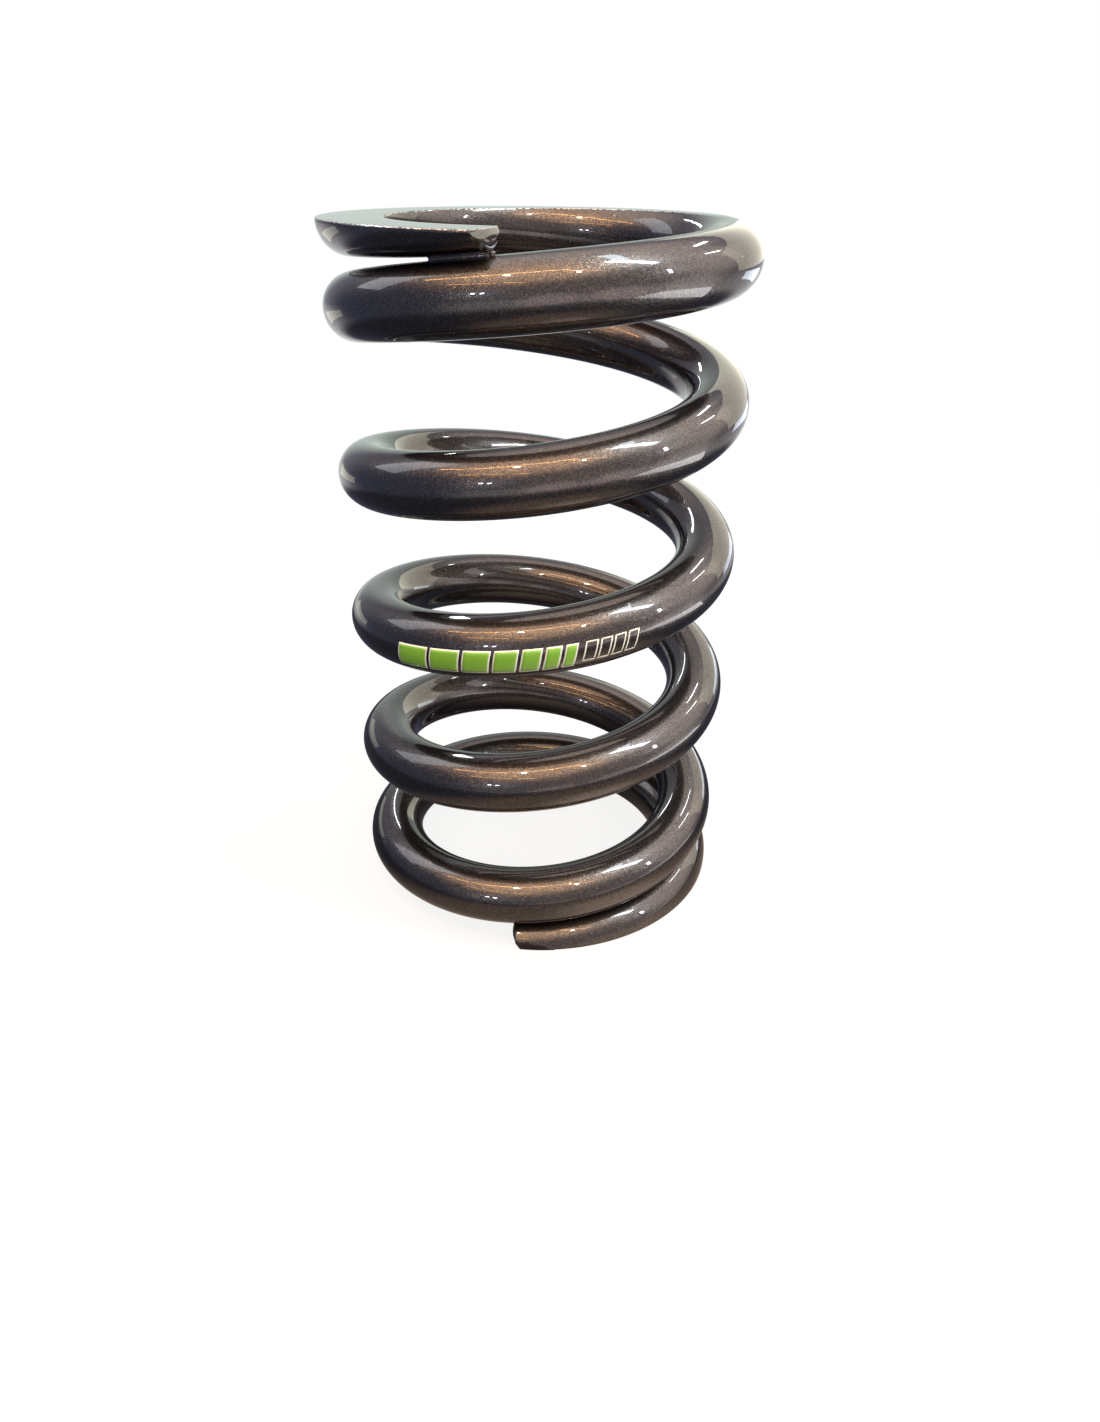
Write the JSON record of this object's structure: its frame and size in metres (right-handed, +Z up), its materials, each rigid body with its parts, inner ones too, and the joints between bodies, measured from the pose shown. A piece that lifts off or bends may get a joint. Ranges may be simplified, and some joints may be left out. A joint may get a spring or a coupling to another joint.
{
  "type": "shock absorber spring",
  "caption": "Helical compression spring of round steel wire, right-hand wound, with closed and ground ends and a dark bronze glossy paint, for a coil-over shock absorber.",
  "frame": {"origin": "centre of the bottom ground face, on the coil's axis", "axes": "+Z runs up the coil's axis from the bottom ground face to the top one; the top tip points to the -Y side, where the picture looks from"},
  "size_m": [0.0734, 0.0734, 0.126],
  "materials": {
    "painted_steel": "glossy dark bronze metallic paint under a clear coat"
  },
  "bodies": {
    "root": {"spring": "painted_steel"}
  },
  "joints": []
}
